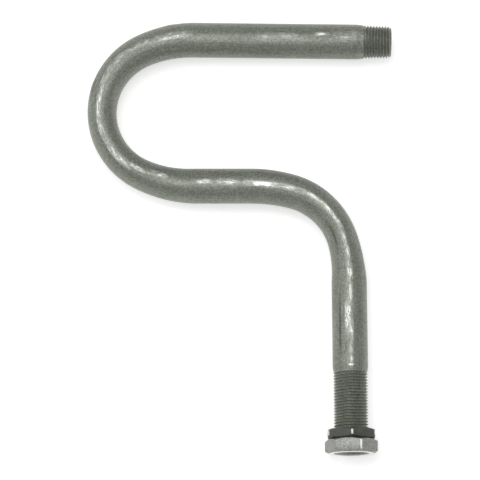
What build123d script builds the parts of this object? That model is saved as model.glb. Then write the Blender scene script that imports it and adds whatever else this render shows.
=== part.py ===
"""Pressure gauge siphon bent from steel pipe, lying on its side.

The inlet run carries a short taper thread.  It leads into a half-turn bend, and from
there through a quarter-turn bend into the gauge leg.  The gauge leg carries a long
parallel thread with a thin lock nut, and a thicker end nut that is jammed against it.

The origin is the centre of the inlet end.  All pipe axes lie in the level XY plane: the
inlet thread points to +X, the gauge leg almost to -Y, and +Z points up from the surface
that the siphon lies on.
"""
import os
from math import cos, log, pi, radians, sin, tan

from build123d import *

os.makedirs("parts", exist_ok=True)

# ------------------------------------------------------------------ pipe (millimetres)
pipe_diameter = 21.7
pipe_wall = 2.8

# --------------------------------------------------------- runs along the pipe's axis
inlet_run_length = 122.0  # inlet end to the start of the half-turn bend
middle_run_length = 36.0  # between the two bends
gauge_run_length = 105.0  # end of the quarter-turn bend to the gauge end

# ----------------------------- bends: a tight core between two gentler easing stretches
half_core_radius = 43.3
half_core_turn = 130.6
half_ease_radius = 75.0
half_ease_turn = 25.0
half_flattening = 0.17  # share of the width lost where the bend is flattest
half_flattest_at = 0.58  # where along the bend that is

quarter_core_radius = 45.2
quarter_core_turn = 58.7
quarter_ease_radius = 93.0
quarter_ease_turn = 15.4
quarter_flattening = 0.12
quarter_flattest_at = 0.68

bulge_share = 0.5  # height gained in a bend, as a share of the width lost
sections_per_bend = 5

# --------------------------------------------------------- pipe threads, 1/2 inch size
thread_diameter = 20.955
threads_per_inch = 14
taper = 1 / 16  # on the diameter
taper_thread_length = 18.0
shoulder_length = 3.0  # cone from the pipe's surface down to the taper thread
gauge_thread_length = 49.5
bore_end_chamfer = 0.5

# -------------------------------------------------------------------------------- nuts
nut_across_flats = 28.5
lock_nut_thickness = 6.0
end_nut_thickness = 9.0
nut_chamfer_angle = 30.0
nut_face_share = 0.95  # round face left by the chamfer, as a share of the flats
nut_bore_chamfer = 0.8
nut_running_clearance = 0.05  # radial, on the parallel thread
end_nut_overhang = 1.5  # the end nut stands this far past the gauge end
lock_nut_corner_angle = 90.0  # direction of one corner, from level, about the leg
end_nut_corner_angle = 110.0

# ------------------------------------------------------------------- worked-out sizes
pipe_radius = pipe_diameter / 2
thread_radius = thread_diameter / 2
thread_pitch = 25.4 / threads_per_inch
thread_depth = 0.640327 * thread_pitch  # 55 degree form, rounded
thread_end_chamfer = thread_depth  # down to the thread's root
runout_length = thread_pitch  # cone from the pipe's surface down to the long thread
taper_end_radius = thread_radius - taper_thread_length * taper / 2
nut_corner_radius = nut_across_flats / 2 / cos(radians(30))

bore_radius = pipe_radius - pipe_wall


# ----------------------------------------------------------------------- the pipe axis
def arcs_after(start, direction, side, core_radius, core_turn, ease_radius, ease_turn):
    """Three tangent arcs: ease in, core, ease out; side 1 turns left and -1 right."""
    for radius, turn in (
        (ease_radius, ease_turn),
        (core_radius, core_turn),
        (ease_radius, ease_turn),
    ):
        arc = JernArc(start, direction, radius=radius, arc_size=side * turn)
        start, direction = arc @ 1, arc % 1


with BuildLine(Plane.XY) as inlet_axis:
    Line((0, 0), (-inlet_run_length, 0))

with BuildLine(Plane.XY) as half_bend_axis:
    arcs_after(
        inlet_axis.line @ 1, inlet_axis.line % 1, 1,
        half_core_radius, half_core_turn, half_ease_radius, half_ease_turn,
    )

with BuildLine(Plane.XY) as middle_axis:
    middle_start = half_bend_axis.line @ 1
    Line(middle_start, middle_start + (half_bend_axis.line % 1) * middle_run_length)

with BuildLine(Plane.XY) as quarter_bend_axis:
    arcs_after(
        middle_axis.line @ 1, middle_axis.line % 1, -1,
        quarter_core_radius, quarter_core_turn, quarter_ease_radius, quarter_ease_turn,
    )

gauge_start = quarter_bend_axis.line @ 1
gauge_direction = quarter_bend_axis.line % 1
gauge_end = gauge_start + gauge_direction * gauge_run_length
gauge_axis = Axis(gauge_start, gauge_direction)


def profile_plane(start, direction):
    """Plane for a turned profile: x runs along the pipe, y out from its axis."""
    return Plane(start, x_dir=direction, z_dir=(0, 0, 1))


def flattening_at(position, depth, flattest_at):
    """Share of the width lost at a position from 0 to 1: none at both ends."""
    return depth * sin(pi * position ** (log(0.5) / log(flattest_at)))


def bend_sections(bend, depth, flattest_at, inset):
    """Oval sections square to a bend's axis, inset from the pipe's outside."""
    sections = []
    for index in range(sections_per_bend):
        position = index / (sections_per_bend - 1)
        along = bend.line % position
        loss = flattening_at(position, depth, flattest_at) if 0 < position < 1 else 0
        across = Vector(0, 0, 1).cross(along)
        plane = Plane(bend.line @ position, x_dir=across, z_dir=along)
        with BuildSketch(plane) as section:
            Ellipse(
                pipe_radius * (1 - loss) - inset,
                pipe_radius * (1 + bulge_share * loss) - inset,
            )
        sections.append(section.sketch.faces()[0])
    return sections


bends = (
    (half_bend_axis, half_flattening, half_flattest_at),
    (quarter_bend_axis, quarter_flattening, quarter_flattest_at),
)

# ------------------------------------------------------------------------- siphon tube
with BuildPart() as siphon_tube:
    # the inlet run, with its shoulder, taper thread and end chamfer
    plain_inlet = inlet_run_length - taper_thread_length - shoulder_length
    with BuildSketch(profile_plane((-inlet_run_length, 0, 0), (1, 0, 0))):
        with BuildLine():
            Polyline(
                (0, 0),
                (0, pipe_radius),
                (plain_inlet, pipe_radius),
                (plain_inlet + shoulder_length, thread_radius),
                (inlet_run_length - thread_end_chamfer, taper_end_radius),
                (inlet_run_length, taper_end_radius - thread_end_chamfer),
                (inlet_run_length, 0),
                close=True,
            )
        make_face()
    revolve(axis=Axis.X)

    # the two bends, flattened by the bending
    for bend, depth, flattest_at in bends:
        outsides = bend_sections(bend, depth, flattest_at, inset=0)
        sweep(outsides, path=bend.wires()[0], multisection=True)

    # the straight between the bends
    with BuildSketch(Plane(middle_axis.line @ 0, z_dir=middle_axis.line % 0)):
        Circle(pipe_radius)
    extrude(amount=middle_run_length)

    # the gauge leg, with its long parallel thread
    plain_gauge = gauge_run_length - gauge_thread_length - runout_length
    with BuildSketch(profile_plane(gauge_start, gauge_direction)):
        with BuildLine():
            Polyline(
                (0, 0),
                (0, pipe_radius),
                (plain_gauge, pipe_radius),
                (plain_gauge + runout_length, thread_radius),
                (gauge_run_length - thread_end_chamfer, thread_radius),
                (gauge_run_length, thread_radius - thread_end_chamfer),
                (gauge_run_length, 0),
                close=True,
            )
        make_face()
    revolve(axis=gauge_axis)

    # the bore, right through
    for start, direction, length in (
        (inlet_axis.line @ 0, inlet_axis.line % 0, inlet_run_length),
        (middle_axis.line @ 0, middle_axis.line % 0, middle_run_length),
        (gauge_start, gauge_direction, gauge_run_length),
    ):
        with BuildSketch(Plane(start, z_dir=direction)):
            Circle(bore_radius)
        extrude(amount=length, mode=Mode.SUBTRACT)
    for bend, depth, flattest_at in bends:
        insides = bend_sections(bend, depth, flattest_at, inset=pipe_wall)
        sweep(insides, path=bend.wires()[0], multisection=True, mode=Mode.SUBTRACT)

    # the bore's edge is broken at both ends
    rims = edges().filter_by(GeomType.CIRCLE)
    bore_rims = [rims.sort_by_distance(end)[0] for end in (inlet_axis.line @ 0, gauge_end)]
    chamfer(bore_rims, bore_end_chamfer)

siphon_tube.part.label = "siphon_tube"
export_step(siphon_tube.part, "parts/siphon_tube.step")


# -------------------------------------------------------------------------------- nuts
def nut_plane(outer_face, corner_angle):
    """Plane at a nut's outer face, x to one corner, z along the leg to the bend."""
    level = gauge_direction.cross(Vector(0, 0, 1))
    corner = level * cos(radians(corner_angle)) + Vector(0, 0, sin(radians(corner_angle)))
    return Plane(
        gauge_end + gauge_direction * outer_face, x_dir=corner, z_dir=-gauge_direction
    )


def make_nut(plane, thickness):
    """Hexagon nut, chamfered on both faces, bored to run on the parallel thread."""
    bore = thread_radius + nut_running_clearance
    face_radius = nut_across_flats / 2 * nut_face_share
    chamfer_depth = (nut_corner_radius - face_radius) * tan(radians(nut_chamfer_angle))
    turned_plane = Plane(plane.origin, x_dir=plane.z_dir, z_dir=plane.x_dir)
    with BuildPart() as nut:
        with BuildSketch(plane):
            RegularPolygon(nut_corner_radius, 6)
        extrude(amount=thickness)
        with BuildSketch(turned_plane):
            with BuildLine():
                Polyline(
                    (0, bore + nut_bore_chamfer),
                    (0, face_radius),
                    (chamfer_depth, nut_corner_radius),
                    (thickness - chamfer_depth, nut_corner_radius),
                    (thickness, face_radius),
                    (thickness, bore + nut_bore_chamfer),
                    (thickness - nut_bore_chamfer, bore),
                    (nut_bore_chamfer, bore),
                    close=True,
                )
            make_face()
        revolve(axis=Axis(plane.origin, plane.z_dir), mode=Mode.INTERSECT)
    return nut


end_nut = make_nut(nut_plane(end_nut_overhang, end_nut_corner_angle), end_nut_thickness)
end_nut.part.label = "end_nut"
export_step(end_nut.part, "parts/end_nut.step")

lock_nut_face = end_nut_overhang - end_nut_thickness
lock_nut = make_nut(nut_plane(lock_nut_face, lock_nut_corner_angle), lock_nut_thickness)
lock_nut.part.label = "lock_nut"
export_step(lock_nut.part, "parts/lock_nut.step")
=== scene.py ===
"""Finish, threads, light and camera for the pressure gauge siphon.

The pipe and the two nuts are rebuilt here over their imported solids, with the same runs,
bends and faces, and with the threads that the solids leave plain.
"""
import math
from collections import namedtuple

import bmesh
import bpy
from mathutils import Matrix, Vector


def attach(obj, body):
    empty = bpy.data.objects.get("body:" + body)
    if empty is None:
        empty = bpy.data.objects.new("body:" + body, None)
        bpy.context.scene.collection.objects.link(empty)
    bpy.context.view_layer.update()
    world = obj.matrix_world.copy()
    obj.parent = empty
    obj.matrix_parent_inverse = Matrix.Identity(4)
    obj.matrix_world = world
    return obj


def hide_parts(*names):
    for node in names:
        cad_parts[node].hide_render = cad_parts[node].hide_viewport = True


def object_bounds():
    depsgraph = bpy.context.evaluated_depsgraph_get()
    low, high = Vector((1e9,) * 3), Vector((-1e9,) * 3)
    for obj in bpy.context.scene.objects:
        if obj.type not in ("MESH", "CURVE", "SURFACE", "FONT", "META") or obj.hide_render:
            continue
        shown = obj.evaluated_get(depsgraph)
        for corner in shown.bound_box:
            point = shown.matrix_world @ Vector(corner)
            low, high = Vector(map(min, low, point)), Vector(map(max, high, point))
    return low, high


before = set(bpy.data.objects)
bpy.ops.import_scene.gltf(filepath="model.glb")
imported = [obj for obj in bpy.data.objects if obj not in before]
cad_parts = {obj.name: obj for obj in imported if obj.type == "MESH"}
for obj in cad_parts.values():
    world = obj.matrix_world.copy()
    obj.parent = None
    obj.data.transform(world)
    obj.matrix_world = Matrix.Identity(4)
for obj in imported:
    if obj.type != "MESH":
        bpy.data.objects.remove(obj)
cad_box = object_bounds()
MM = 0.001

# ------------------------------------------------------------- sizes, as in the solids
PIPE_RADIUS = 10.85 * MM
BORE_RADIUS = 8.05 * MM
INLET_RUN = 122.0 * MM
MIDDLE_RUN = 36.0 * MM
GAUGE_RUN = 105.0 * MM

# turns are in degrees, the flattening is the share of the width that is lost,
# flattest_at is a share of the bend's length, and side is 1 to the left, -1 to the right
Bend = namedtuple(
    "Bend", "core_radius core_turn ease_radius ease_turn flattening flattest_at side"
)
HALF_BEND = Bend(43.3 * MM, 130.6, 75.0 * MM, 25.0, 0.17, 0.58, 1)
QUARTER_BEND = Bend(45.2 * MM, 58.7, 93.0 * MM, 15.4, 0.12, 0.68, -1)
BULGE_SHARE = 0.5  # of the width that a bend loses, added to its height

THREAD_RADIUS = 10.4775 * MM
PITCH = 25.4 / 14 * MM
DEPTH = 0.640327 * PITCH
TAPER = 1 / 32  # of the inlet thread, radius to length
TAPER_LENGTH = 18.0 * MM
SHOULDER_LENGTH = 3.0 * MM
GAUGE_THREAD = 49.5 * MM

NUT_FLATS = 28.5 * MM
NUT_FACE_RADIUS = 0.95 * NUT_FLATS / 2
NUT_CORNER_RADIUS = NUT_FLATS / 2 / math.cos(math.pi / 6)
NUT_OVERHANG = 1.5 * MM
END_NUT = 9.0 * MM
LOCK_NUT = 6.0 * MM
CORNER_ANGLES = {"lock_nut": 90.0, "end_nut": 70.0}

COLUMNS = 96  # points around the pipe
NEGLIGIBLE = 1e-9  # a difference in metres or radians that is only rounding


# ------------------------------------------------------------------------ the pipe axis
def bend_arcs(bend):
    """The three arcs of a bend, as lengths and signed curvatures."""
    ease = (bend.ease_radius * math.radians(bend.ease_turn), bend.side / bend.ease_radius)
    core = (bend.core_radius * math.radians(bend.core_turn), bend.side / bend.core_radius)
    return [ease, core, ease]


def flattening(bend, position):
    """Share of the width lost at a position from 0 to 1 along a bend."""
    if not 0 < position < 1:
        return 0.0
    skew = math.log(0.5) / math.log(bend.flattest_at)
    return bend.flattening * math.sin(math.pi * position**skew)


def stretches():
    """Every stretch of the axis: length, curvature, bend, and how far into the bend."""
    found = [(INLET_RUN, 0.0, None, 0.0)]
    for bend, run_after in ((HALF_BEND, MIDDLE_RUN), (QUARTER_BEND, GAUGE_RUN)):
        into = 0.0
        for length, curvature in bend_arcs(bend):
            found.append((length, curvature, bend, into))
            into += length
        found.append((run_after, 0.0, None, 0.0))
    return found


STRETCHES = stretches()
PIPE_LENGTH = sum(length for length, _, _, _ in STRETCHES)
GAUGE_START = PIPE_LENGTH - GAUGE_THREAD
OUTER_FACE = PIPE_LENGTH + NUT_OVERHANG  # the end nut's, as a distance along the axis


def axis_at(distance):
    """Place, heading and flattening of the pipe at a distance from its inlet end."""
    place, heading = Vector((0, 0, 0)), math.pi
    for index, (length, curvature, bend, into) in enumerate(STRETCHES):
        # the last run goes on past the pipe's end, out to the end nut's face
        last = index == len(STRETCHES) - 1
        part = distance if last else min(distance, length)
        forward = Vector((math.cos(heading), math.sin(heading), 0))
        if curvature:
            left = Vector((-forward.y, forward.x, 0))
            turned = part * curvature
            place = place + forward * math.sin(turned) / curvature
            place = place + left * (1 - math.cos(turned)) / curvature
            heading += turned
        else:
            place = place + forward * part
        distance -= part
        if distance <= NEGLIGIBLE or last:
            break
    loss = 0.0
    if bend:
        loss = flattening(bend, (into + part) / sum(arc[0] for arc in bend_arcs(bend)))
    return place, heading, loss


class Axis:
    """The pipe's axis, each place on it worked out once, to set points out from."""

    def __init__(self):
        self.known = {}

    def point(self, distance, angle, radius):
        """Point beside the axis: angle 0 is across to the left and 90 degrees is up."""
        key = round(distance, 7)
        if key not in self.known:
            place, heading, loss = axis_at(distance)
            across = Vector((-math.sin(heading), math.cos(heading), 0))
            self.known[key] = (place, across, loss)
        place, across, loss = self.known[key]
        wide = radius - PIPE_RADIUS * loss
        high = radius + PIPE_RADIUS * loss * BULGE_SHARE
        up = Vector((0, 0, high * math.sin(angle)))
        return place + across * wide * math.cos(angle) + up


AXIS = Axis()


# -------------------------------------------------------------------------- mesh making
WELD_DISTANCE = 2e-6
LEAST_EDGE = 1e-6


class Skin:
    """Points, faces and each point's place on the pipe as if it were straight."""

    def __init__(self):
        self.points, self.unrolled, self.faces = [], [], []

    def grid(self, rows, closed=True):
        """Quads over rows of (distance, angle, radius)."""
        start, width = len(self.points), len(rows[0])
        for row in rows:
            for distance, angle, radius in row:
                self.points.append(AXIS.point(distance, angle, radius))
                self.unrolled.append(
                    (distance, radius * math.cos(angle), radius * math.sin(angle))
                )
        columns = width if closed else width - 1
        for row in range(len(rows) - 1):
            for column in range(columns):
                a = start + row * width + column
                b = start + row * width + (column + 1) % width
                self.faces.append((a, b, b + width, a + width))

    def finish(self, name, material, node, body):
        """Adds one welded, smooth mesh to the scene, riding where its solid does."""
        mesh = bpy.data.meshes.new(name)
        mesh.from_pydata([tuple(point) for point in self.points], [], self.faces)
        unrolled = mesh.attributes.new("unrolled", "FLOAT_VECTOR", "POINT")
        unrolled.data.foreach_set("vector", [c for place in self.unrolled for c in place])
        weld(mesh)
        mesh.shade_smooth()
        mesh.materials.append(material)
        piece = bpy.data.objects.new(name, mesh)
        bpy.context.scene.collection.objects.link(piece)
        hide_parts(node)
        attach(piece, body)


def weld(mesh):
    """Joins points that lie on each other, drops faces left with no area, and turns
    all faces outwards."""
    work = bmesh.new()
    work.from_mesh(mesh)
    bmesh.ops.remove_doubles(work, verts=work.verts, dist=WELD_DISTANCE)
    bmesh.ops.dissolve_degenerate(work, dist=LEAST_EDGE, edges=work.edges)
    bmesh.ops.recalc_face_normals(work, faces=work.faces)
    work.to_mesh(mesh)
    work.free()


def ring(distance, radius, columns=COLUMNS):
    """A row for Skin.grid: points evenly round the axis."""
    return [(distance, 2 * math.pi * i / columns, radius) for i in range(columns)]


# ------------------------------------------------------------------------------ threads
# height of the thread form, from 0 at the root to 1 at the crest, over one pitch
THREAD_FORM = (
    (0.00, 0.00), (0.07, 0.03), (0.12, 0.12), (0.25, 0.50), (0.38, 0.88), (0.43, 0.97),
    (0.50, 1.00), (0.57, 0.97), (0.62, 0.88), (0.75, 0.50), (0.88, 0.12), (0.93, 0.03),
)
INLET_RUN_OUT = 1.2 * PITCH
GAUGE_RUN_OUT = 1.5 * PITCH
INLET_RIM = THREAD_RADIUS - TAPER_LENGTH * TAPER - DEPTH
GAUGE_RIM = THREAD_RADIUS - DEPTH
END_CHAMFER = 0.62  # of both ends, radius to length


def thread_rows(start, end, surface, columns):
    """Rows that follow a right-hand helix, so that crest and root are unbroken lines."""
    first = math.floor(start / PITCH) - 1
    last = math.ceil(end / PITCH) + 1
    rows = []
    for turn in range(first, last):
        for phase, _ in THREAD_FORM:
            row = []
            for i in range(columns + 1):
                share = i / columns
                distance = (turn + phase + share) * PITCH
                distance = min(max(distance, start), end)
                angle = 2 * math.pi * share
                row.append((distance, angle, surface(distance, angle)))
            rows.append(row)
    return rows


def smooth(value):
    """Eases a value from 0 to 1, and holds it there outside them."""
    value = min(max(value, 0.0), 1.0)
    return value * value * (3 - 2 * value)


def thread_height(distance, angle):
    """Height of the thread form at any place on the pipe, 0 at the root to 1."""
    phase = (distance / PITCH - angle / (2 * math.pi)) % 1.0
    knots = THREAD_FORM + ((1.0, 0.0),)
    for (p0, h0), (p1, h1) in zip(knots, knots[1:]):
        if p0 <= phase <= p1:
            return h0 + (h1 - h0) * (phase - p0) / (p1 - p0)
    return 0.0


def inlet_surface(distance, angle):
    """Taper thread, running out at its shoulder and chamfered at the pipe's end."""
    crest = THREAD_RADIUS - (TAPER_LENGTH - distance) * TAPER
    depth = DEPTH * smooth((TAPER_LENGTH - distance) / INLET_RUN_OUT)
    nicked = crest - depth * (1 - thread_height(distance, angle))
    return min(nicked, INLET_RIM + END_CHAMFER * distance)


def gauge_surface(distance, angle):
    """Long parallel thread, running out at the plain pipe and chamfered at its end."""
    depth = DEPTH * smooth((distance - GAUGE_START) / GAUGE_RUN_OUT)
    nicked = THREAD_RADIUS - depth * (1 - thread_height(distance, angle))
    return min(nicked, GAUGE_RIM + END_CHAMFER * (PIPE_LENGTH - distance))


# -------------------------------------------------------------------------- siphon tube
STEP = 1.6 * MM  # between rings on the bare pipe
BORE_STEP = 4.0 * MM
EDGE = 0.5 * MM  # break on the bore's edges
SHOULDER_BREAK = 0.3 * MM  # length of the softened edge above the taper thread
SHOULDER_DROP = 0.08 * MM
DIE_MARKS = (INLET_RUN + 14 * MM, INLET_RUN + 68 * MM)
DIE_MARK_REACH = 2.2 * MM
DIE_MARK_HEIGHT = 0.22 * MM


def evenly(start, end, step):
    """Distances from start to end, equally spaced by no more than a step."""
    count = max(1, math.ceil((end - start) / step))
    return [start + (end - start) * i / count for i in range(count + 1)]


def die_mark(distance, angle):
    """Two slight kinks across the outside of the half-turn bend, left by the bender."""
    outside = max(0.0, -math.cos(angle)) ** 2
    offsets = [(distance - place) / DIE_MARK_REACH for place in DIE_MARKS]
    mark = sum(math.exp(-(offset**2)) for offset in offsets)
    return DIE_MARK_HEIGHT * mark * outside


def make_tube(material):
    """The bent pipe: its outside, both threads, end faces and bore."""
    skin = Skin()
    shoulder = TAPER_LENGTH + SHOULDER_LENGTH
    outside = [
        ring(TAPER_LENGTH, THREAD_RADIUS),
        ring(shoulder - SHOULDER_BREAK, PIPE_RADIUS - SHOULDER_DROP),
    ]
    for distance in evenly(shoulder, GAUGE_START - PITCH, STEP):
        bare = ring(distance, PIPE_RADIUS)
        outside.append([(d, a, radius + die_mark(d, a)) for d, a, radius in bare])
    outside.append(ring(GAUGE_START, THREAD_RADIUS))
    skin.grid(outside)
    for start, end, surface in (
        (0.0, TAPER_LENGTH, inlet_surface),
        (GAUGE_START, PIPE_LENGTH, gauge_surface),
    ):
        skin.grid(thread_rows(start, end, surface, COLUMNS), closed=False)
    # from the inlet's end face through the bore to the other end face
    bore = [ring(0.0, INLET_RIM), ring(0.0, BORE_RADIUS + EDGE)]
    bore += [ring(d, BORE_RADIUS) for d in evenly(EDGE, PIPE_LENGTH - EDGE, BORE_STEP)]
    bore += [ring(PIPE_LENGTH, BORE_RADIUS + EDGE), ring(PIPE_LENGTH, GAUGE_RIM)]
    skin.grid(bore)
    skin.finish("siphon_tube_skin", material, "siphon_tube", "tube")


# --------------------------------------------------------------------------------- nuts
NUT_COLUMNS = 144  # points around a nut
CROWDING = 0.13  # how much closer together they stand at its corners
CORNER_ROUND = 0.55 * MM
CHAMFER_SLOPE = math.tan(math.radians(30))
EDGE_SOFTNESS = 0.12 * MM
FACE_RING = NUT_FACE_RADIUS - 1.2 * MM  # where the outside ends on the flat face
BORE_CHAMFER = 1.5 * MM
THREAD_PLAY = 0.06 * MM
HOLE_RADIUS = THREAD_RADIUS - DEPTH + THREAD_PLAY  # at the crests of a nut's own thread
MOUTH_RADIUS = HOLE_RADIUS + BORE_CHAMFER


def hexagon_radius(angle):
    """Distance from the axis to a hexagon's side, its corners slightly rounded."""
    from_corner = (angle + math.pi / 6) % (math.pi / 3) - math.pi / 6
    flat = NUT_FLATS / 2
    centre = (flat - CORNER_ROUND) / math.cos(math.pi / 6)
    tangent = math.atan2(CORNER_ROUND / 2, centre + CORNER_ROUND * math.cos(math.pi / 6))
    if abs(from_corner) < tangent:
        side = centre * math.sin(from_corner)
        return centre * math.cos(from_corner) + math.sqrt(CORNER_ROUND**2 - side**2)
    return flat / math.cos(math.pi / 6 - abs(from_corner))


def nut_columns(corner):
    """Angles round the nut from one corner, closer together at all six."""
    per_side = NUT_COLUMNS // 6
    angles = []
    for side in range(6):
        for i in range(per_side):
            share = i / per_side
            eased = share - CROWDING * math.sin(2 * math.pi * share)
            angles.append(corner + (side + eased) * math.pi / 3)
    return angles


def nut_profile(side):
    """Depths and radii from a nut's flat face, over its chamfer, out to its side.

    The chamfer's edges are rounded off by shares of the softness.
    """
    soft = EDGE_SOFTNESS
    cut = (side - NUT_FACE_RADIUS) * CHAMFER_SLOPE
    chamfer_end = (
        max(cut - soft, 0.3 * soft),
        max(side - soft / CHAMFER_SLOPE, NUT_FACE_RADIUS + 0.5 * soft),
    )
    return (
        (0.0, FACE_RING),
        (0.0, NUT_FACE_RADIUS - soft),
        (0.25 * soft, NUT_FACE_RADIUS + 0.4 * soft),
        chamfer_end,
        (cut + 0.1 * soft, side - 0.3 * soft),
        (cut + soft, side),
    )


def make_nut(name, outer_face, thickness, material):
    """A nut from its outer face, at a distance along the pipe, back towards the bend."""
    inner_face = outer_face - thickness
    corner = math.radians(CORNER_ANGLES[name])
    angles = nut_columns(corner)
    profiles = [nut_profile(hexagon_radius(angle - corner)) for angle in angles]
    skin = Skin()

    def row(level, from_back):
        """One level of the profiles, all the way round."""
        return [
            (outer_face - (thickness - depth if from_back else depth), angle, radius)
            for angle, (depth, radius) in zip(angles, level)
        ]

    levels = list(zip(*profiles))
    outside = [row(level, False) for level in levels]
    outside += [row(level, True) for level in reversed(levels)]
    skin.grid(outside)

    def tapped(distance, angle):
        """The hole's thread, in mesh with the pipe's, chamfered at both mouths."""
        crest = THREAD_RADIUS + THREAD_PLAY
        radius = crest - DEPTH * (1 - thread_height(distance, angle))
        inside = min(outer_face - distance, distance - inner_face)
        return max(radius, HOLE_RADIUS + (BORE_CHAMFER - inside))

    skin.grid(thread_rows(inner_face, outer_face, tapped, NUT_COLUMNS), closed=False)
    # the flat faces: the rim starts at angle 0, so the edge is shifted to start there too
    from_zero = [(angle + NEGLIGIBLE) % (2 * math.pi) for angle in angles]
    first = from_zero.index(min(from_zero))
    shifted = angles[first:] + angles[:first]
    for face in (outer_face, inner_face):
        rim = ring(face, MOUTH_RADIUS, NUT_COLUMNS)
        skin.grid([rim, [(face, angle, FACE_RING) for angle in shifted]])
    skin.finish(name + "_body", material, name, name)


# ---------------------------------------------------------------------------- materials
SCALE_TINT = (1.0, 1.065, 0.90)
RUBBED_AND_HIGHLIGHT_TINT = (1.0, 1.0, 0.97)
BRIGHT_TINT = (1.0, 1.02, 0.96)


class Nodes:
    """A material's nodes, made and linked by short calls."""

    def __init__(self, name):
        self.material = bpy.data.materials.new(name)
        self.material.use_nodes = True
        self.tree = self.material.node_tree
        self.tree.nodes.clear()

    def add(self, kind, values=None, **settings):
        """A node with its settings, and a link or a plain value for each input."""
        node = self.tree.nodes.new(kind)
        for key, value in settings.items():
            setattr(node, key, value)
        for socket, value in (values or {}).items():
            if isinstance(value, bpy.types.NodeSocket):
                self.tree.links.new(value, node.inputs[socket])
            else:
                node.inputs[socket].default_value = value
        return node

    def unrolled(self):
        """Place on the straightened pipe: along it, across to the left, and up."""
        place = self.add("ShaderNodeAttribute", attribute_name="unrolled")
        return place.outputs["Vector"]

    def noise(self, scale, detail=3.0, roughness=0.55, distortion=0.0):
        """Noise with a scale for each direction of the straightened pipe."""
        stretched = {0: self.unrolled(), 1: scale}
        place = self.add("ShaderNodeVectorMath", stretched, operation="MULTIPLY")
        values = {
            "Vector": place.outputs[0],
            "Scale": 1.0,
            "Detail": detail,
            "Roughness": roughness,
            "Distortion": distortion,
        }
        return self.add("ShaderNodeTexNoise", values).outputs["Fac"]

    def ramp(self, value, low, high, to_low=0.0, to_high=1.0):
        """The value's range from low to high, mapped to another and held at its ends."""
        values = {0: value, 1: low, 2: high, 3: to_low, 4: to_high}
        return self.add("ShaderNodeMapRange", values).outputs[0]

    def math(self, operation, a, b=0.0):
        """One operation on sockets or numbers."""
        return self.add("ShaderNodeMath", {0: a, 1: b}, operation=operation).outputs[0]

    def times(self, product, *factors):
        """The product of two or more sockets or numbers."""
        for factor in factors:
            product = self.math("MULTIPLY", product, factor)
        return product

    def mix(self, share, a, b):
        """Colour a, with a share of colour b."""
        values = {0: share, 6: a, 7: b}
        return self.add("ShaderNodeMix", values, data_type="RGBA").outputs[2]

    def bump(self, height, distance, strength):
        values = {"Height": height, "Distance": distance, "Strength": strength}
        return self.add("ShaderNodeBump", values).outputs["Normal"]

    def output(self, shader):
        """The finished material, with this shader as its surface."""
        self.add("ShaderNodeOutputMaterial", {0: shader.outputs[0]})
        return self.material

    def surface(self, **values):
        """The finished material, from its inputs, named with _ for each space."""
        inputs = {name.replace("_", " "): value for name, value in values.items()}
        return self.output(self.add("ShaderNodeBsdfPrincipled", inputs))


def grey(value, tint=SCALE_TINT):
    """A tinted grey, as a colour with full alpha."""
    return (value * tint[0], value * tint[1], value * tint[2], 1.0)


def along(nodes):
    """Distance from the inlet end, place across the axis and height over it."""
    return nodes.add("ShaderNodeSeparateXYZ", {0: nodes.unrolled()}).outputs[:]


# marks on the upper side, partly rub marks and partly painted highlights: start and end
# along the pipe, place across it to the left, half width across it, all in millimetres,
# and strength
RUB_AND_HIGHLIGHT_MARKS = (
    (18, 34, -1.8, 3.6, 0.62),
    (40, 46.5, -2.4, 1.5, 1.45),
    (60, 82, -1.0, 2.6, 0.45),
    (127, 146, -1.8, 3.0, 0.80),
    (146, 168, -2.6, 2.6, 0.50),
    (168, 190, -3.0, 2.6, 0.95),
    (190, 224, -2.4, 2.2, 0.95),
    (224, 243, -2.0, 2.4, 0.95),
    (246, 254, 0.8, 2.0, 0.70),
    (258, 268, 2.4, 2.2, 0.90),
    (287, 296, 0.9, 2.0, 0.95),
    (302, 312, 0.9, 2.4, 0.95),
    (320, 337, 0.0, 2.4, 1.35),
    (340, 352, 0.2, 2.4, 0.60),
    (352, 388, 1.0, 1.8, 0.95),
    (388, 406, 0.4, 1.8, 0.75),
    (408, 420, 0.2, 2.2, 0.90),
    (420, 433, 0.4, 1.8, 0.60),
    (432, 452, -1.3, 2.4, 0.90),
    (445, 469, 0.7, 1.4, 0.85),
    (471, 472, 0.0, 2.4, 1.50),
)
DARK_MARKS = (
    (186, 197, -8.8, 1.2, 0.80),
    (381, 397, -5.6, 1.1, 0.80),
    (430, 464, -6.2, 0.9, 0.85),
)
LONGEST_FADE = 5.0  # of a mark's ends, either way, in millimetres
FULL_SHARE = 0.3  # of a mark's half width, at full strength
SIDE_FADE = 2 * MM  # from a side with no marks or wear to a side with them


def marked(nodes, marks):
    """How strongly a place lies within any of the marks."""
    distance, across, height = along(nodes)
    total = None
    for start, end, place, half_width, strength in marks:
        fade = min(LONGEST_FADE, (end - start) / 3) * MM
        rise = nodes.ramp(distance, start * MM - fade, start * MM + fade)
        fall = nodes.ramp(distance, end * MM - fade, end * MM + fade, 1.0, 0.0)
        off = nodes.math("ABSOLUTE", nodes.math("SUBTRACT", across, place * MM))
        full = FULL_SHARE * half_width * MM
        side = nodes.ramp(off, full, half_width * MM, strength, 0.0)
        mark = nodes.times(rise, fall, side)
        total = mark if total is None else nodes.math("MAXIMUM", total, mark)
    upper_side = nodes.ramp(height, 0.0, SIDE_FADE)
    return nodes.times(total, upper_side)


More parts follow.
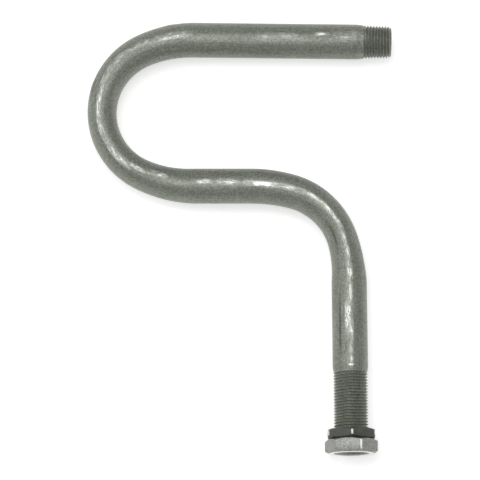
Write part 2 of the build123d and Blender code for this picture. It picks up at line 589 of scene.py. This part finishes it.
def broken_up(nodes, mask):
    """The mask as fine scratches and small patches, solid where it is over 1."""
    fine = nodes.ramp(nodes.noise((300, 1500, 1500), 4.0, 0.75, 0.6), 0.45, 0.57)
    patches = nodes.ramp(nodes.noise((150, 420, 420), 2.0), 0.38, 0.58, 0.15, 1.0)
    speckle = nodes.times(fine, patches, 1.1)
    share = nodes.times(mask, nodes.math("ADD", speckle, 0.10))
    solid = nodes.math("MAXIMUM", nodes.math("SUBTRACT", mask, 1.0), 0.0)
    share = nodes.math("ADD", share, nodes.times(solid, 2.0))
    return nodes.math("MINIMUM", share, 1.0)


def pipe_steel():
    """Dull grey pipe: mottled scale, fine grain, long scratches, dark marks, bright rub
    marks that are partly painted highlight, and a painted reflection on its edges.
    """
    nodes = Nodes("pipe_steel_look")
    mottle = nodes.ramp(nodes.noise((60, 130, 130), 4.0, 0.6), 0.30, 0.70)
    grain = nodes.ramp(nodes.noise((900, 900, 900), 3.0, 0.75), 0.39, 0.61)
    streak = nodes.ramp(nodes.noise((30, 800, 800), 3.0, 0.6), 0.38, 0.66)
    # painted highlight: the bright marks are partly steel bared by wear and partly the
    # lamp's gleam painted in
    rubbed_and_highlit = broken_up(nodes, marked(nodes, RUB_AND_HIGHLIGHT_MARKS))
    # darker marks near the edges of the upper side, at the places in DARK_MARKS
    darkened = marked(nodes, DARK_MARKS)
    colour = nodes.mix(mottle, grey(0.200), grey(0.265))
    lighter = nodes.mix(grain, grey(0.130), grey(0.370))
    colour = nodes.mix(0.58, colour, lighter)
    # painted reflection: the colour is lightened where the surface turns away from the
    # view, for the white floor mirrored on the pipe's edges
    facing = nodes.add("ShaderNodeLayerWeight", {"Blend": 0.5}).outputs["Facing"]
    rim = nodes.ramp(facing, 0.60, 0.95, 0.0, 0.45)
    colour = nodes.mix(rim, colour, grey(0.55))
    colour = nodes.mix(nodes.times(streak, 0.25), colour, grey(0.12))
    # darker where DARK_MARKS lie
    colour = nodes.mix(nodes.times(darkened, 0.7), colour, grey(0.05))
    # near-white marks: partly steel bared by wear, partly a painted highlight
    colour = nodes.mix(rubbed_and_highlit, colour, grey(1.0, RUBBED_AND_HIGHLIGHT_TINT))
    rough = nodes.ramp(mottle, 0.0, 1.0, 0.52, 0.43)
    rough = nodes.math("SUBTRACT", rough, nodes.times(rubbed_and_highlit, 0.08))
    metal = nodes.ramp(rubbed_and_highlit, 0.0, 1.0, 0.70, 0.35)
    relief = nodes.math("ADD", nodes.times(grain, 0.6), nodes.times(streak, 0.3))
    relief = nodes.math("ADD", relief, mottle)
    normal = nodes.bump(relief, 0.10 * MM, 0.6)
    return nodes.surface(
        Base_Color=colour, Metallic=metal, Roughness=rough, Normal=normal
    )


# radii where the nut corners' wear and painted highlight begin and are full
WEAR_AND_GLINT_STARTS = NUT_CORNER_RADIUS - 0.42 * MM
WEAR_AND_GLINT_FULL = NUT_CORNER_RADIUS - 0.16 * MM


def corner_wear_and_glint(nodes):
    """How near a place is to one of a nut's six corners, where spanners wear it, with a
    painted highlight for the light the rounded corner catches.
    """
    _, across, height = along(nodes)
    squares = [nodes.math("POWER", value, 2.0) for value in (across, height)]
    radius = nodes.math("SQRT", nodes.math("ADD", *squares))
    return nodes.ramp(radius, WEAR_AND_GLINT_STARTS, WEAR_AND_GLINT_FULL)


def blackened_steel():
    """Blackened lock nut, satin, bright with wear at its corners and a painted highlight
    there.
    """
    nodes = Nodes("blackened_steel_look")
    cloud = nodes.ramp(nodes.noise((220, 220, 220), 4.0, 0.6), 0.32, 0.68)
    grain = nodes.ramp(nodes.noise((900, 900, 900), 3.0, 0.7), 0.36, 0.64)
    worn_and_glinting = corner_wear_and_glint(nodes)
    colour = nodes.mix(cloud, grey(0.055), grey(0.085))
    colour = nodes.mix(nodes.times(grain, 0.35), colour, grey(0.13))
    # painted highlight: near-white corners, partly steel bared by wear and partly the
    # light a rounded corner catches
    colour = nodes.mix(worn_and_glinting, colour, grey(0.95, RUBBED_AND_HIGHLIGHT_TINT))
    rough = nodes.ramp(cloud, 0.0, 1.0, 0.46, 0.56)
    metal = nodes.ramp(worn_and_glinting, 0.0, 1.0, 0.25, 0.6)
    normal = nodes.bump(grain, 0.06 * MM, 0.4)
    return nodes.surface(
        Base_Color=colour, Metallic=metal, Roughness=rough, Normal=normal
    )


def bright_steel():
    """Bright end nut: drawn sides with a fine grain, a clean turned outer face, and wear
    with a painted highlight on the corners of one side.
    """
    nodes = Nodes("bright_steel_look")
    distance, across, _ = along(nodes)
    cloud = nodes.ramp(nodes.noise((300, 300, 300), 4.0, 0.6), 0.30, 0.70)
    grain = nodes.ramp(nodes.noise((900, 1100, 1100), 3.0, 0.75), 0.38, 0.62)
    turned = nodes.ramp(distance, OUTER_FACE - 0.30 * MM, OUTER_FACE - 0.05 * MM)
    # only the corners on the side where across is positive carry the wear and the painted
    # highlight
    worn_and_glinting = nodes.times(corner_wear_and_glint(nodes), nodes.ramp(across, 0.0, SIDE_FADE, 0.0, 0.8))
    colour = nodes.mix(cloud, grey(0.21, BRIGHT_TINT), grey(0.27, BRIGHT_TINT))
    lighter = nodes.mix(grain, grey(0.13, BRIGHT_TINT), grey(0.46, BRIGHT_TINT))
    colour = nodes.mix(0.5, colour, lighter)
    colour = nodes.mix(turned, colour, grey(0.78, BRIGHT_TINT))
    # painted highlight: near-white corners, partly steel bared by wear and partly the
    # light a rounded corner catches
    colour = nodes.mix(worn_and_glinting, colour, grey(0.95, BRIGHT_TINT))
    rough = nodes.ramp(turned, 0.0, 1.0, 0.44, 0.24)
    normal = nodes.bump(grain, 0.06 * MM, 0.5)
    return nodes.surface(
        Base_Color=colour, Metallic=0.85, Roughness=rough, Normal=normal
    )


# ------------------------------------------------------------- floor, lights and camera
FLOOR_REACH = 3.0  # metres from the origin to each edge
FLOOR_COLOUR = (0.85, 0.85, 0.85, 1.0)
FLOOR_GLOW = 0.5
WORLD_LEVEL = 0.52
LAMPS_AIM = Vector((-0.09, -0.12, 0.0))
LAMPS = (  # name, place, sides, watts
    ("overhead", (-0.2, 0.06, 1.3), (0.6, 0.6), 5.5),
    ("left_fill", (-1.2, 0.1, 0.9), (0.5, 0.8), 2.5),
)
CAMERA_ELEVATION = math.radians(80.0)
CAMERA_ROLL = math.radians(0.642)
CAMERA_DISTANCE = 2.0
CAMERA_TARGET = Vector((-0.09245, -0.12581, 0.0))
METRES_ACROSS = 0.2952  # what the picture spans at the target
SENSOR_WIDTH = 36.0
NEAREST_SEEN = 0.01


def seen_white(nodes, shader, strength):
    """The shader and white light for rays that see it direct, mirrored or refracted."""
    path = nodes.add("ShaderNodeLightPath").outputs
    seen = nodes.math("MAXIMUM", path["Is Camera Ray"], path["Is Glossy Ray"])
    seen = nodes.math("MAXIMUM", seen, path["Is Transmission Ray"])
    glow = nodes.add("ShaderNodeEmission", {"Strength": nodes.times(seen, strength)})
    return nodes.add("ShaderNodeAddShader", {0: shader.outputs[0], 1: glow.outputs[0]})


def make_floor():
    """A wide white floor at the height of the solids' lowest point."""
    level = cad_box[0][2]
    mesh = bpy.data.meshes.new("floor")
    corners = [
        (x * FLOOR_REACH, y * FLOOR_REACH, level)
        for x, y in ((-1, -1), (1, -1), (1, 1), (-1, 1))
    ]
    mesh.from_pydata(corners, [], [(0, 1, 2, 3)])
    floor = bpy.data.objects.new("floor", mesh)
    bpy.context.scene.collection.objects.link(floor)
    nodes = Nodes("floor_look")
    diffuse = nodes.add("ShaderNodeBsdfDiffuse", {"Color": FLOOR_COLOUR})
    mesh.materials.append(nodes.output(seen_white(nodes, diffuse, FLOOR_GLOW)))


def make_lamp(name, place, sides, power):
    """A rectangular lamp that shines at the siphon's middle."""
    light = bpy.data.lights.new(name, "AREA")
    light.shape = "RECTANGLE"
    light.size, light.size_y = sides
    light.energy = power
    lamp = bpy.data.objects.new(name, light)
    lamp.location = place
    beam = LAMPS_AIM - Vector(place)
    lamp.rotation_euler = beam.to_track_quat("-Z", "Y").to_euler()
    bpy.context.scene.collection.objects.link(lamp)


def make_world():
    """Even white light from all around."""
    world = bpy.data.worlds.new("studio")
    world.use_nodes = True
    background = world.node_tree.nodes["Background"]
    background.inputs["Color"].default_value = (1.0, 1.0, 1.0, 1.0)
    background.inputs["Strength"].default_value = WORLD_LEVEL
    bpy.context.scene.world = world


def make_camera():
    """Looks down on the siphon from above its gauge end."""
    back = Vector((0, -math.cos(CAMERA_ELEVATION), math.sin(CAMERA_ELEVATION)))
    right = Vector((1, 0, 0))
    turned = Matrix((right, back.cross(right), back)).transposed().to_4x4()
    data = bpy.data.cameras.new("camera")
    data.sensor_width = SENSOR_WIDTH
    data.lens = SENSOR_WIDTH * CAMERA_DISTANCE / METRES_ACROSS
    data.clip_start = NEAREST_SEEN
    camera = bpy.data.objects.new("camera", data)
    place = Matrix.Translation(CAMERA_TARGET + back * CAMERA_DISTANCE)
    camera.matrix_world = place @ turned @ Matrix.Rotation(CAMERA_ROLL, 4, "Z")
    bpy.context.scene.collection.objects.link(camera)
    bpy.context.scene.camera = camera


make_camera()
make_tube(pipe_steel())
make_nut("end_nut", OUTER_FACE, END_NUT, bright_steel())
make_nut("lock_nut", OUTER_FACE - END_NUT, LOCK_NUT, blackened_steel())
make_floor()
make_world()
for lamp in LAMPS:
    make_lamp(*lamp)
bpy.context.scene.view_settings.view_transform = "Standard"
